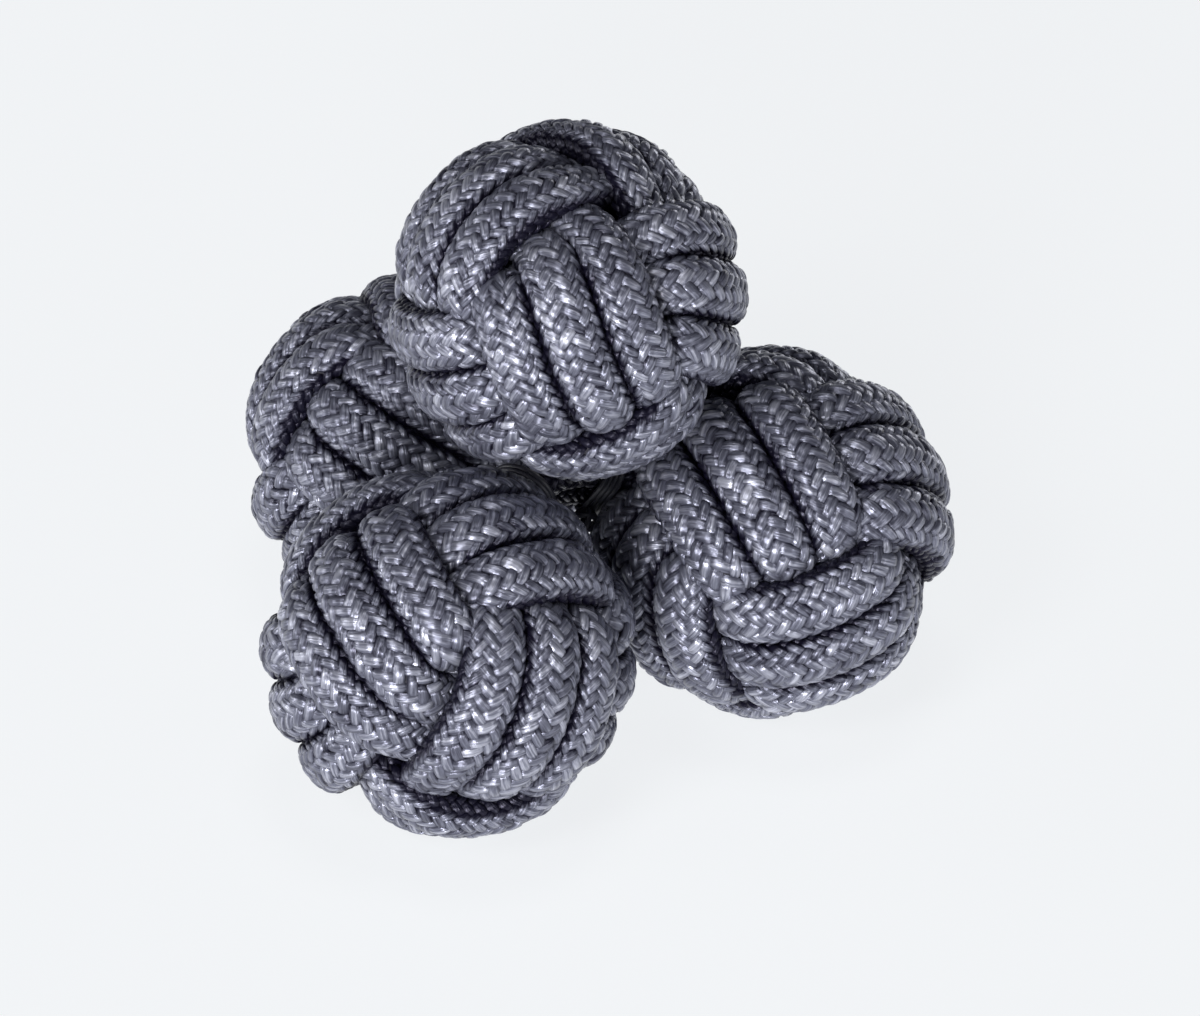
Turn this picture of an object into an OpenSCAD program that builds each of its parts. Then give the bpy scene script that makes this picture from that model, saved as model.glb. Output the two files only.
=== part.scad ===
// Pair of silk-knot cufflinks, piled as they lie on a table.
// Each cufflink is two balls, wound from braided cord over a round core,
// that are joined by two short strands of the same cord with a rubber thread inside.
// Millimetres. +Z is up, the table is z = 0 and the front of the pile looks along -Y.
// The origin is the middle of the pile's box, at table height.

/* [Cord] */
// Radius of the ball that the cord's sizes below are given for
cord_ball_radius = 6.5; // [6.4:0.01:6.6]
// Width of the wound cord's firm body where it runs over
over_width = 1.37; // [1.33:0.01:1.38]
// Width where it is squeezed under another strand
under_width = 0.72; // [0.69:0.01:0.73]
// Thickness of the cord's firm body where it runs over
over_thickness = 1.03; // [0.99:0.01:1.04]
// Thickness where it runs under
under_thickness = 0.64; // [0.61:0.01:0.65]
// Depth from the middle line of an over-pass to that of an under-pass
weave_depth = 1.92; // [1.91:0.01:1.95]
// Rings along one turn of the winding
rings_per_turn = 20; // [20:1:22]

/* [Balls] */
// Outer radius of the first cufflink's wound balls, the front and the right knot
first_ball_radius = 6.6; // [6.5:0.01:6.65]
// Outer radius of the second cufflink's wound balls, the top and the rear knot
second_ball_radius = 6.3; // [6.2:0.01:6.35]
// Gap between each knot's round core and the cord's under-passes
core_clearance = 0.35; // [0.3:0.01:0.5]

/* [Pile] */
// Right knot's centre, to the right of the front knot's
right_x = 11.3; // [11.25:0.05:11.6]
// Right knot's centre, behind the front knot's
right_y = 7.36; // [7.3:0.02:7.5]
// Rear knot's centre, left of the front knot's
rear_left = 1.2; // [1:0.05:1.4]
// Rear knot's centre, behind the front knot's
rear_y = 12.85; // [12.8:0.05:13.1]
// Top knot's centre, to the right of the front knot's
top_x = 3.9; // [3.8:0.02:4]
// Top knot's centre, behind the front knot's
top_y = 6.05; // [6:0.02:6.1]
// Top knot's centre, above the front knot's
top_rise = 10.6; // [10.55:0.05:10.8]
// Depth of the flat that each floor knot's lowest strands rest on
rest_flat = 0.14; // [0.12:0.01:0.16]

/* [Links] */
// Outer diameter of a link strand
link_cord_d = 1.5; // [1.4:0.02:1.52]
// Diameter of the rubber thread inside a link strand
elastic_d = 0.8; // [0.6:0.05:0.9]
// Gap between the rubber thread and its braided cover
elastic_clearance = 0.06; // [0.04:0.01:0.1]
// Gap between the two strands of a link
strand_gap = 0.1; // [0.08:0.01:0.14]
// How far the rubber thread stops short of each end of its cover
elastic_setback = 0.2; // [0.1:0.05:0.4]
// Angle at which the first link leaves its knots, from the line between them
first_leave_angle = 41; // [40:0.5:42]
// Tilt of the first link's bow above the table
first_bow_tilt = 34; // [33:0.5:35]
// Radius in a ball at which the first link's strands end
first_end_radius = 5.98; // [5.94:0.02:6.08]
// Angle at which the second link leaves its knots, from the line between them
second_leave_angle = 65; // [64:0.5:66]
// Tilt of the second link's bow above the table, across the line between its knots
second_bow_tilt = 30; // [28:1:32]
// Height of the second link's bending points above the wound cord
neck_height = 0.9; // [0.88:0.01:0.95]
// How far the second link's strands go on towards a knot from its bending point
second_end_length = 0.75; // [0.65:0.01:0.77]

/* [Neck stitches] */
// Thickness of the stitched thread band round a link's neck
stitch_wall = 0.25; // [0.2:0.01:0.27]
// Width of the band along the strands
stitch_width = 0.7; // [0.6:0.02:0.74]
// Gap between the band and the strands
stitch_clearance = 0.05; // [0.045:0.005:0.06]
// Distance of the band from the second link's bending point
second_stitch_offset = 0.6; // [0.55:0.05:0.8]
// Distance of the band from the ends of the first link's strands
first_stitch_offset = 0.12; // [0.08:0.01:0.15]

/* [Hidden] */
$fn = 48;

slate = [0.40, 0.41, 0.46];
slate_light = [0.50, 0.51, 0.56];
core_cream = [0.80, 0.76, 0.66];
rubber_black = [0.12, 0.12, 0.13];
thread_grey = [0.33, 0.34, 0.40];

// The weave: three leads and four bights, laid three strands wide
leads = 3;
bights = 4;
strands = 3;
turns = strands * leads;
tube_sides = 6;

// Latitude of the path: a wave over the ball and its small overtone, in degrees
wave_share = 49.38;
overtone_share = -3.78;
// Angle between neighbouring strands at an over-pass and at an under-pass, in degrees
over_pitch_share = 17.11;
under_pitch_share = 16.75;
// Sharpness of the step from an under-pass to an over-pass
weave_sharpness_share = 3.98;
// Shift of the weave along the path that puts each pass on its crossing
crossing_shift_share = 33.06;
// Part of a turn over which the cord moves from one track to the next
track_change_share = 0.16;
// Degrees ahead at which the path's direction is read
look_ahead_share = 0.06;
// Turns between two places on the cord before they count as different strands
apart_share = 0.24;
// Points on each edge of the tube at which its gap to itself is measured
edge_steps = 4;

// Turn of each knot, as rotations about X, Y and Z in degrees
front_turn_angles = [105.9, 1.5, -23];
right_turn_angles = [-140.8, 54.3, -140.3];
top_turn_angles = [-4.8, -21.5, 155.5];
rear_turn_angles = [127, -41.6, -148.2];

// Vector helpers
function unit(v) = v / norm(v);
function across(v, w) = unit(v - (v * w) * w);
function sum_axis(points, axis) = [for (p = points) p[axis]] * [for (p = points) 1];

// Rotation matrix of a turn given as angles about X, Y and Z
function turn_matrix(a) =
    let (cx = cos(a[0]), sx = sin(a[0]), cy = cos(a[1]), sy = sin(a[1]), cz = cos(a[2]), sz = sin(a[2]))
    [
        [cz * cy, cz * sy * sx - sz * cx, cz * sy * cx + sz * sx],
        [sz * cy, sz * sy * sx + cz * cx, sz * sy * cx - cz * sx],
        [-sy, cy * sx, cy * cx]
    ];

// Point of the unit ball on the middle track, at a longitude
function track_point(lon) =
    let (
        phase = lon * bights / leads,
        lat = wave_share * sin(phase) + overtone_share * sin(leads * phase)
    )
    [cos(lat) * cos(lon), cos(lat) * sin(lon), sin(lat)];

// Smooth step from 0 to 1
function ease(s) = let (c = min(1, max(0, s))) c * c * (3 - 2 * c);

// Track that the cord lies on, from -1 to 1, after a number of turns
function track_at(turn_count) =
    let (step = floor(turn_count / leads), inside = turn_count - step * leads)
    step - 1 + ((step < strands - 1)
        ? ease((inside - (leads - track_change_share)) / track_change_share)
        : 0);

// Hyperbolic tangent
function tanh(v) = (exp(v) - exp(-v)) / (exp(v) + exp(-v));

// Height of the weave at a place along the cord, from -1 (under) to 1 (over)
function weave_height(turn_count) =
    let (phase = 360 * turn_count * bights / leads, shifted = 2 * phase + crossing_shift_share * sin(2 * phase))
    -tanh(weave_sharpness_share * sin(shifted)) / tanh(weave_sharpness_share);

// Value between an under-pass's and an over-pass's, at a height of the weave
function between(under, over, height) = under + (over - under) * (height + 1) / 2;

// Point of the cord's middle line in a ball's own frame
function cord_point(ball_radius, turn_count) =
    let (
        size = ball_radius / cord_ball_radius,
        height = weave_height(turn_count),
        middle = ball_radius - size * (over_thickness + weave_depth) / 2,
        here = track_point(360 * turn_count),
        ahead = track_point(360 * turn_count + look_ahead_share),
        side = unit(cross(here, ahead - here)),
        offset = track_at(turn_count) * between(under_pitch_share, over_pitch_share, height),
        radius = middle + size * weave_depth / 2 * height
    )
    radius * (cos(offset) * here + sin(offset) * side);

// Rings of the wound cord's tube, each a list of its corners, in the ball's own frame
function winding_rings(ball_radius) =
    let (
        size = ball_radius / cord_ball_radius,
        last = floor((turns - track_change_share) * rings_per_turn),
        line = [for (i = [0 : last]) cord_point(ball_radius, i / rings_per_turn)]
    )
    [for (i = [0 : last])
        let (
            height = weave_height(i / rings_per_turn),
            heading = unit(line[min(i + 1, last)] - line[max(i - 1, 0)]),
            outward = across(line[i], heading),
            sideways = cross(heading, outward),
            half_width = size * between(under_width, over_width, height) / 2,
            half_thickness = size * between(under_thickness, over_thickness, height) / 2
        )
        [for (k = [0 : tube_sides - 1])
            let (angle = 360 * (k + 0.5) / tube_sides)
            line[i] + half_width * cos(angle) * sideways + half_thickness * sin(angle) * outward]];

// Radius of the round core that fits inside a winding
function core_reach(ball_radius) =
    let (size = ball_radius / cord_ball_radius)
    ball_radius - size * ((over_thickness + under_thickness) / 2 + weave_depth) - core_clearance;

// Rings turned as a knot lies
function turned_rings(rings, turn) =
    let (placed = turn_matrix(turn))
    [for (ring = rings) [for (p = ring) placed * p]];

// Largest and smallest reach of rings along an axis, 0 to 2
function high_reach(rings, axis) = max([for (ring = rings) for (p = ring) p[axis]]);
function low_reach(rings, axis) = min([for (ring = rings) for (p = ring) p[axis]]);

// Least gap of a tube to itself, measured on points of its corner edges and faces
function self_gap(rings) =
    let (
        last = len(rings) - 1,
        rows = [for (i = [0 : last - 1]) for (j = [0 : edge_steps - 1])
            [for (k = [0 : tube_sides - 1]) for (half = [0, 1])
                let (
                    next = (k + 1) % tube_sides,
                    near_point = half == 0 ? rings[i][k] : (rings[i][k] + rings[i][next]) / 2,
                    far_point = half == 0 ? rings[i + 1][k] : (rings[i + 1][k] + rings[i + 1][next]) / 2
                )
                near_point + (far_point - near_point) * j / edge_steps]],
        middles = [for (row = rows) [for (axis = [0 : 2]) sum_axis(row, axis) / len(row)]],
        apart = ceil(apart_share * rings_per_turn * edge_steps),
        close = cord_ball_radius / 3,
        row_gaps = [for (i = [0 : len(rows) - 1]) for (j = [i + apart : 1 : len(rows) - 1])
            if (norm(middles[i] - middles[j]) < close)
                min([for (p = rows[i]) for (q = rows[j]) norm(p - q)])]
    )
    min(row_gaps);

// Lowest corner of some rings
function low_point(rings) =
    let (low = low_reach(rings, 2), found = [for (ring = rings) for (p = ring) if (p[2] == low) p])
    found[0];

// The four windings as they lie, about their own centres
front_rings = turned_rings(winding_rings(first_ball_radius), front_turn_angles);
right_rings = turned_rings(winding_rings(first_ball_radius), right_turn_angles);
top_rings = turned_rings(winding_rings(second_ball_radius), top_turn_angles);
rear_rings = turned_rings(winding_rings(second_ball_radius), rear_turn_angles);

// Centres, before the pile is put about its middle: each floor knot's lowest strand
// goes below the table by the flat that is then cut
front_at = [0, 0, -low_reach(front_rings, 2) - rest_flat];
right_at = [right_x, right_y, -low_reach(right_rings, 2) - rest_flat];
rear_at = [-rear_left, rear_y, -low_reach(rear_rings, 2) - rest_flat];
top_at = front_at + [top_x, top_y, top_rise];

// Middle of the pile's box along X and Y
function box_middle(axis) = (
    max(front_at[axis] + high_reach(front_rings, axis), right_at[axis] + high_reach(right_rings, axis),
        top_at[axis] + high_reach(top_rings, axis), rear_at[axis] + high_reach(rear_rings, axis))
    + min(front_at[axis] + low_reach(front_rings, axis), right_at[axis] + low_reach(right_rings, axis),
        top_at[axis] + low_reach(top_rings, axis), rear_at[axis] + low_reach(rear_rings, axis))) / 2;
pile_middle = [box_middle(0), box_middle(1), 0];
front_centre = front_at - pile_middle;
right_centre = right_at - pile_middle;
rear_centre = rear_at - pile_middle;
top_centre = top_at - pile_middle;

// A link lies in a plane: along runs from its first knot to its second, bow is the way it
// bends out and stack is the way its two strands lie beside each other
first_along = unit(right_centre - front_centre);
first_level = unit(cross([0, 0, 1], first_along));
first_bow = across(cos(first_bow_tilt) * first_level + sin(first_bow_tilt) * [0, 0, 1], first_along);
first_stack = cross(first_along, first_bow);
first_half = norm(right_centre - front_centre) / 2;
first_middle = (front_centre + right_centre) / 2;

second_along = unit(top_centre - rear_centre);
second_level = unit(cross([0, 0, 1], second_along));
second_bow = cos(second_bow_tilt) * second_level + sin(second_bow_tilt) * cross(second_along, second_level);
second_stack = cross(second_along, second_bow);
second_half = norm(top_centre - rear_centre) / 2;
second_middle = (rear_centre + top_centre) / 2;
second_pivot_radius = second_ball_radius + neck_height;

// Where a link's arc begins, the arc's centre height and its radius, in the link's plane
function arc_start(half, start_radius, leave) = [-half + start_radius * cos(leave), start_radius * sin(leave)];
function arc_height(half, start_radius, leave) = (start_radius - half * cos(leave)) / sin(leave);
function arc_radius(half, start_radius, leave) =
    norm(arc_start(half, start_radius, leave) - [0, arc_height(half, start_radius, leave)]);

// Angle of an arc of some length
function arc_angle(length, radius) = length / radius * 180 / PI;

first_radius = arc_radius(first_half, first_end_radius, first_leave_angle);
first_height = arc_height(first_half, first_end_radius, first_leave_angle);
second_radius = arc_radius(second_half, second_pivot_radius, second_leave_angle);
second_height = arc_height(second_half, second_pivot_radius, second_leave_angle);
second_half_span = second_leave_angle + arc_angle(second_end_length, second_radius);
strand_offset = (link_cord_d + strand_gap) / 2;

// Directions in which the links leave their knots
front_neck = cos(first_leave_angle) * first_along + sin(first_leave_angle) * first_bow;
right_neck = -cos(first_leave_angle) * first_along + sin(first_leave_angle) * first_bow;
rear_neck = cos(second_leave_angle) * second_along + sin(second_leave_angle) * second_bow;
top_neck = -cos(second_leave_angle) * second_along + sin(second_leave_angle) * second_bow;
rear_pivot = rear_centre + second_pivot_radius * rear_neck;
top_pivot = top_centre + second_pivot_radius * top_neck;

// Moves a child from its own X, Y and Z to three directions and a point
module set_on(x_way, y_way, z_way, at) {
    multmatrix([
        [x_way[0], y_way[0], z_way[0], at[0]],
        [x_way[1], y_way[1], z_way[1], at[1]],
        [x_way[2], y_way[2], z_way[2], at[2]]
    ])
        children();
}

// One unbroken tube through its rings
module tube(rings) {
    last = len(rings) - 1;
    ring_points = [for (ring = rings) each ring];
    side_faces = [
        for (i = [0 : last - 1])
            for (k = [0 : tube_sides - 1])
                let (
                    a = i * tube_sides + k,
                    b = i * tube_sides + (k + 1) % tube_sides,
                    c = a + tube_sides,
                    d = b + tube_sides
                )
                each [[a, b, d], [a, d, c]]
    ];
    start_cap = [for (k = [1 : tube_sides - 2]) [0, k + 1, k]];
    end_base = last * tube_sides;
    end_cap = [for (k = [1 : tube_sides - 2]) [end_base, end_base + k, end_base + k + 1]];
    polyhedron(points = ring_points, faces = concat(side_faces, start_cap, end_cap));
}

// Everything below the table
module below_table() {
    reach = 4 * cord_ball_radius;
    translate([-reach, -reach, -reach])
        cube([2 * reach, 2 * reach, reach]);
}

// A winding that stands on the table
module standing_winding(rings, centre) {
    difference() {
        translate(centre) tube(rings);
        below_table();
    }
}

// Disc or ring of a strand's section
module strand_section(outer_d, bore_d) {
    difference() {
        circle(d = outer_d);
        if (bore_d > 0) circle(d = bore_d);
    }
}

// Bent part of a strand, over an angle each side of the bow's top, in the link's own frame:
// X along, Y bow, Z stack
module bent_strand(height, radius, half_span, outer_d, bore_d) {
    translate([0, height, 0])
        rotate([0, 0, 90 - half_span])
            rotate_extrude(angle = 2 * half_span)
                translate([radius, 0])
                    strand_section(outer_d, bore_d);
}

// Braided cover of a strand, and the rubber thread inside it
module strand_cover(height, radius, half_span) {
    bent_strand(height, radius, half_span, link_cord_d, elastic_d + 2 * elastic_clearance);
}

module strand_elastic(height, radius, half_span) {
    bent_strand(height, radius, half_span - arc_angle(elastic_setback, radius), elastic_d, 0);
}

// Section of a band round both strands, its long way along X
module band_section() {
    outer_d = link_cord_d + 2 * (stitch_clearance + stitch_wall);
    inner_d = link_cord_d + 2 * stitch_clearance;
    difference() {
        long_section(outer_d);
        long_section(inner_d);
    }
}

// Long section with round ends, over both strands
module long_section(across_d) {
    union() {
        translate([-strand_offset, 0]) circle(d = across_d);
        translate([strand_offset, 0]) circle(d = across_d);
        square([2 * strand_offset, across_d], center = true);
    }
}

// Stitched band round both strands of a link, centred at an angle from the bow's top
module link_band(height, radius, angle) {
    translate([0, height, 0])
        rotate([0, 0, 90 - angle])
            translate([radius, 0, 0])
                rotate([90, 0, 0])
                    linear_extrude(stitch_width, center = true)
                        rotate(90) band_section();
}

module first_band(side) {
    back_angle = arc_angle(first_stitch_offset + stitch_width / 2, first_radius);
    link_band(first_height, first_radius, side * (first_leave_angle - back_angle));
}

module second_band(side) {
    back_angle = arc_angle(second_stitch_offset + stitch_width / 2, second_radius);
    link_band(second_height, second_radius, side * (second_leave_angle - back_angle));
}

// Places a child of the first link or of the second link
module on_first_link() {
    set_on(first_along, first_bow, first_stack, first_middle) children();
}

module on_second_link() {
    set_on(second_along, second_bow, second_stack, second_middle) children();
}

module front_knot_cord() {
    color(slate) standing_winding(front_rings, front_centre);
}

module right_knot_cord() {
    color(slate) standing_winding(right_rings, right_centre);
}

module rear_knot_cord() {
    color(slate) standing_winding(rear_rings, rear_centre);
}

module top_knot_cord() {
    color(slate) translate(top_centre) tube(top_rings);
}

module front_knot_core() {
    color(core_cream) translate(front_centre) sphere(r = core_reach(first_ball_radius));
}

module right_knot_core() {
    color(core_cream) translate(right_centre) sphere(r = core_reach(first_ball_radius));
}

module top_knot_core() {
    color(core_cream) translate(top_centre) sphere(r = core_reach(second_ball_radius));
}

module rear_knot_core() {
    color(core_cream) translate(rear_centre) sphere(r = core_reach(second_ball_radius));
}

module first_link_upper_cover() {
    color(slate_light) on_first_link() translate([0, 0, strand_offset])
        strand_cover(first_height, first_radius, first_leave_angle);
}

module first_link_lower_cover() {
    color(slate_light) on_first_link() translate([0, 0, -strand_offset])
        strand_cover(first_height, first_radius, first_leave_angle);
}

module first_link_upper_elastic() {
    color(rubber_black) on_first_link() translate([0, 0, strand_offset])
        strand_elastic(first_height, first_radius, first_leave_angle);
}

module first_link_lower_elastic() {
    color(rubber_black) on_first_link() translate([0, 0, -strand_offset])
        strand_elastic(first_height, first_radius, first_leave_angle);
}

module second_link_left_cover() {
    color(slate_light) on_second_link() translate([0, 0, strand_offset])
        strand_cover(second_height, second_radius, second_half_span);
}

module second_link_right_cover() {
    color(slate_light) on_second_link() translate([0, 0, -strand_offset])
        strand_cover(second_height, second_radius, second_half_span);
}

module second_link_left_elastic() {
    color(rubber_black) on_second_link() translate([0, 0, strand_offset])
        strand_elastic(second_height, second_radius, second_half_span);
}

module second_link_right_elastic() {
    color(rubber_black) on_second_link() translate([0, 0, -strand_offset])
        strand_elastic(second_height, second_radius, second_half_span);
}

module front_neck_stitch() {
    color(thread_grey) on_first_link() first_band(-1);
}

module right_neck_stitch() {
    color(thread_grey) on_first_link() first_band(1);
}

module rear_neck_stitch() {
    color(thread_grey) on_second_link() second_band(-1);
}

module top_neck_stitch() {
    color(thread_grey) on_second_link() second_band(1);
}

front_knot_cord();
front_knot_core();
front_neck_stitch();
right_knot_cord();
right_knot_core();
right_neck_stitch();
top_knot_cord();
top_knot_core();
top_neck_stitch();
rear_knot_cord();
rear_knot_core();
rear_neck_stitch();
first_link_upper_cover();
first_link_upper_elastic();
first_link_lower_cover();
first_link_lower_elastic();
second_link_left_cover();
second_link_left_elastic();
second_link_right_cover();
second_link_right_elastic();

// Sizes to read off: each winding's least gap to itself, and where things lie
union() {
    cord_gap = self_gap(winding_rings(cord_ball_radius));
    echo(front_knot_cord_gap = cord_gap * first_ball_radius / cord_ball_radius);
    echo(right_knot_cord_gap = cord_gap * first_ball_radius / cord_ball_radius);
    echo(top_knot_cord_gap = cord_gap * second_ball_radius / cord_ball_radius);
    echo(rear_knot_cord_gap = cord_gap * second_ball_radius / cord_ball_radius);
    echo(core_radii = [core_reach(first_ball_radius), core_reach(second_ball_radius)]);
    echo(front_centre = front_centre);
    echo(right_centre = right_centre);
    echo(top_centre = top_centre);
    echo(rear_centre = rear_centre);
    echo(front_neck = front_neck);
    echo(right_neck = right_neck);
    echo(top_neck = top_neck);
    echo(rear_neck = rear_neck);
    echo(top_pivot = top_pivot);
    echo(rear_pivot = rear_pivot);
    echo(second_stack = second_stack);
    echo(first_bend_radius_of_arc = first_radius);
    echo(second_bend_radius_of_arc = second_radius);
    echo(first_strand_length = 2 * first_radius * first_leave_angle * PI / 180);
    echo(second_strand_length = 2 * second_radius * second_half_span * PI / 180);
    echo(lowest_points = [low_point(front_rings), low_point(right_rings), low_point(rear_rings)]);
    echo(pile_middle = pile_middle);
    echo(top_box_z = top_centre[2] + high_reach(top_rings, 2));
}
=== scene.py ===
"""Looks of a pile of silk-knot cufflinks: four balls wound from braided cord, and their two short links.

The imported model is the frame. Names that end in _mm are in millimetres and names that end in _deg are in
degrees; meshes are made in millimetres and stored in metres.
"""

from __future__ import annotations

import logging
import math
from dataclasses import dataclass, field
from enum import Enum

import bpy
import numpy as np
from mathutils import Matrix, Quaternion, Vector


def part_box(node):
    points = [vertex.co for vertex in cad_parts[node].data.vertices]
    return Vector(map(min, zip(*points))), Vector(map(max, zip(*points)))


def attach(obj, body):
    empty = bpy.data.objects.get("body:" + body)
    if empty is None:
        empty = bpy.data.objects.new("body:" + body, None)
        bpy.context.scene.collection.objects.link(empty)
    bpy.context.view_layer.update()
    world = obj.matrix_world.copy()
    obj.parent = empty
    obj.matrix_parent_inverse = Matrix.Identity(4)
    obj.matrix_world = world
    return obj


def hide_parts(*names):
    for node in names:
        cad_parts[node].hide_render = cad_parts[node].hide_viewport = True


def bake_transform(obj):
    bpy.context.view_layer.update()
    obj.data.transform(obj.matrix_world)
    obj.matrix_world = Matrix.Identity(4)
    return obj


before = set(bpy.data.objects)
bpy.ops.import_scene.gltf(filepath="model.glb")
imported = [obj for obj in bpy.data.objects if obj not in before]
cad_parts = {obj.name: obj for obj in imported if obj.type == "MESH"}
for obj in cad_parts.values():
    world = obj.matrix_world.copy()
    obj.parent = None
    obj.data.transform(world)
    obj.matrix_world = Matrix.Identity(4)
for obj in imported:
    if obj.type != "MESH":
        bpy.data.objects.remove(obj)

LOG = logging.getLogger("silk_knots")
MM = 0.001


def write_size() -> None:
    """Updates the view layer."""
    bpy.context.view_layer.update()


def unit(vector: np.ndarray) -> np.ndarray:
    """Returns a vector, or each row of an array of vectors, at length one."""
    return vector / np.linalg.norm(vector, axis=-1, keepdims=True)


def across(vector: np.ndarray, way: np.ndarray) -> np.ndarray:
    """Returns the part of a vector that is square to a way, at length one."""
    return unit(vector - (vector * way).sum(-1, keepdims=True) * way)


def ease(share: np.ndarray) -> np.ndarray:
    """Returns a smooth step from 0 to 1 of a share that is clipped to that range."""
    inside = np.clip(share, 0.0, 1.0)
    return inside * inside * (3.0 - 2.0 * inside)


def turn_matrix(degrees: tuple[float, float, float]) -> np.ndarray:
    """Returns the matrix of a turn about X, then Y, then Z.

    Args:
        degrees: The three angles.

    Returns:
        A 3 by 3 rotation matrix.
    """
    x, y, z = np.radians(degrees)
    about_x = np.array([[1, 0, 0], [0, math.cos(x), -math.sin(x)], [0, math.sin(x), math.cos(x)]])
    about_y = np.array([[math.cos(y), 0, math.sin(y)], [0, 1, 0], [-math.sin(y), 0, math.cos(y)]])
    about_z = np.array([[math.cos(z), -math.sin(z), 0], [math.sin(z), math.cos(z), 0], [0, 0, 1]])
    return about_z @ about_y @ about_x


def node_centre_mm(node: str) -> np.ndarray:
    """Returns the middle of a model node's box, in millimetres."""
    low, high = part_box(node)
    return (np.array(low) + np.array(high)) / 2 / MM


class Slant(Enum):
    """Way in which a column's yarns lean across the cord."""

    LEFT = -1
    RIGHT = 1


@dataclass(frozen=True)
class SilkFinish:
    """Glossy filament yarn: its colours, from painted crease shade to the palest yarn, and how it shines."""

    name: str
    painted_shade: tuple[float, float, float]
    middle: tuple[float, float, float]
    pale: tuple[float, float, float]
    roughness: float = 0.28
    anisotropy: float = 0.7
    metal_share: float = 0.5
    filament_bump: float = 1.0

    def build(self) -> bpy.types.Material:
        """Makes the material.

        Returns:
            A material whose filaments run along each yarn, whose tone changes from yarn to yarn, and whose
            darkest colour is painted shade in the creases and at the yarns' edges.
        """
        made = bpy.data.materials.new(self.name)
        made.use_nodes = True
        nodes, links = made.node_tree.nodes, made.node_tree.links
        shader = nodes["Principled BSDF"]
        shader.inputs["Roughness"].default_value = self.roughness
        shader.inputs["Metallic"].default_value = self.metal_share
        shader.inputs["Anisotropic"].default_value = self.anisotropy
        shader.inputs["Anisotropic Rotation"].default_value = 0.25
        shader.inputs["Specular IOR Level"].default_value = 0.4
        where = nodes.new("ShaderNodeUVMap")
        where.uv_map = Weaver.FILAMENT_MAP
        stretch = nodes.new("ShaderNodeMapping")
        stretch.inputs["Scale"].default_value = (1.3, 12.5, 1.0)
        streaks = nodes.new("ShaderNodeTexNoise")
        streaks.inputs["Scale"].default_value = 1.0
        streaks.inputs["Detail"].default_value = 3.0
        streaks.inputs["Roughness"].default_value = 0.6
        # The tone attribute carries each yarn's random tone and its painted shade.
        tone_and_shade = nodes.new("ShaderNodeAttribute")
        tone_and_shade.attribute_name = Weaver.TONE_AND_SHADE
        blend = nodes.new("ShaderNodeMath")
        blend.operation = "MULTIPLY_ADD"
        blend.inputs[1].default_value = 1.3
        ramp = nodes.new("ShaderNodeValToRGB")
        stops = ramp.color_ramp.elements
        # The darkest stop is painted shade, tinted violet, which the creases and yarn edges reach through the
        # tone.
        stops[0].position, stops[0].color = 0.18, (*self.painted_shade, 1.0)
        stops[1].position, stops[1].color = 1.0, (*self.pale, 1.0)
        stop = stops.new(0.6)
        stop.color = (*self.middle, 1.0)
        bump = nodes.new("ShaderNodeBump")
        bump.inputs["Strength"].default_value = self.filament_bump
        bump.inputs["Distance"].default_value = 0.05 * MM
        tangent = nodes.new("ShaderNodeTangent")
        tangent.direction_type = "UV_MAP"
        tangent.uv_map = Weaver.FILAMENT_MAP
        links.new(where.outputs["UV"], stretch.inputs["Vector"])
        links.new(stretch.outputs["Vector"], streaks.inputs["Vector"])
        links.new(streaks.outputs["Fac"], blend.inputs[0])
        links.new(tone_and_shade.outputs["Fac"], blend.inputs[2])
        links.new(blend.outputs["Value"], ramp.inputs["Fac"])
        links.new(ramp.outputs["Color"], shader.inputs["Base Color"])
        links.new(streaks.outputs["Fac"], bump.inputs["Height"])
        links.new(bump.outputs["Normal"], shader.inputs["Normal"])
        links.new(tangent.outputs["Tangent"], shader.inputs["Tangent"])
        return made


@dataclass(frozen=True)
class PlainFinish:
    """A finish of one colour: the painted shade under the yarns, the cores and the rubber."""

    name: str
    colour: tuple[float, float, float]
    roughness: float = 0.7

    def build(self) -> bpy.types.Material:
        """Makes the material and returns it."""
        made = bpy.data.materials.new(self.name)
        made.use_nodes = True
        shader = made.node_tree.nodes["Principled BSDF"]
        shader.inputs["Base Color"].default_value = (*self.colour, 1.0)
        shader.inputs["Roughness"].default_value = self.roughness
        return made


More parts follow.
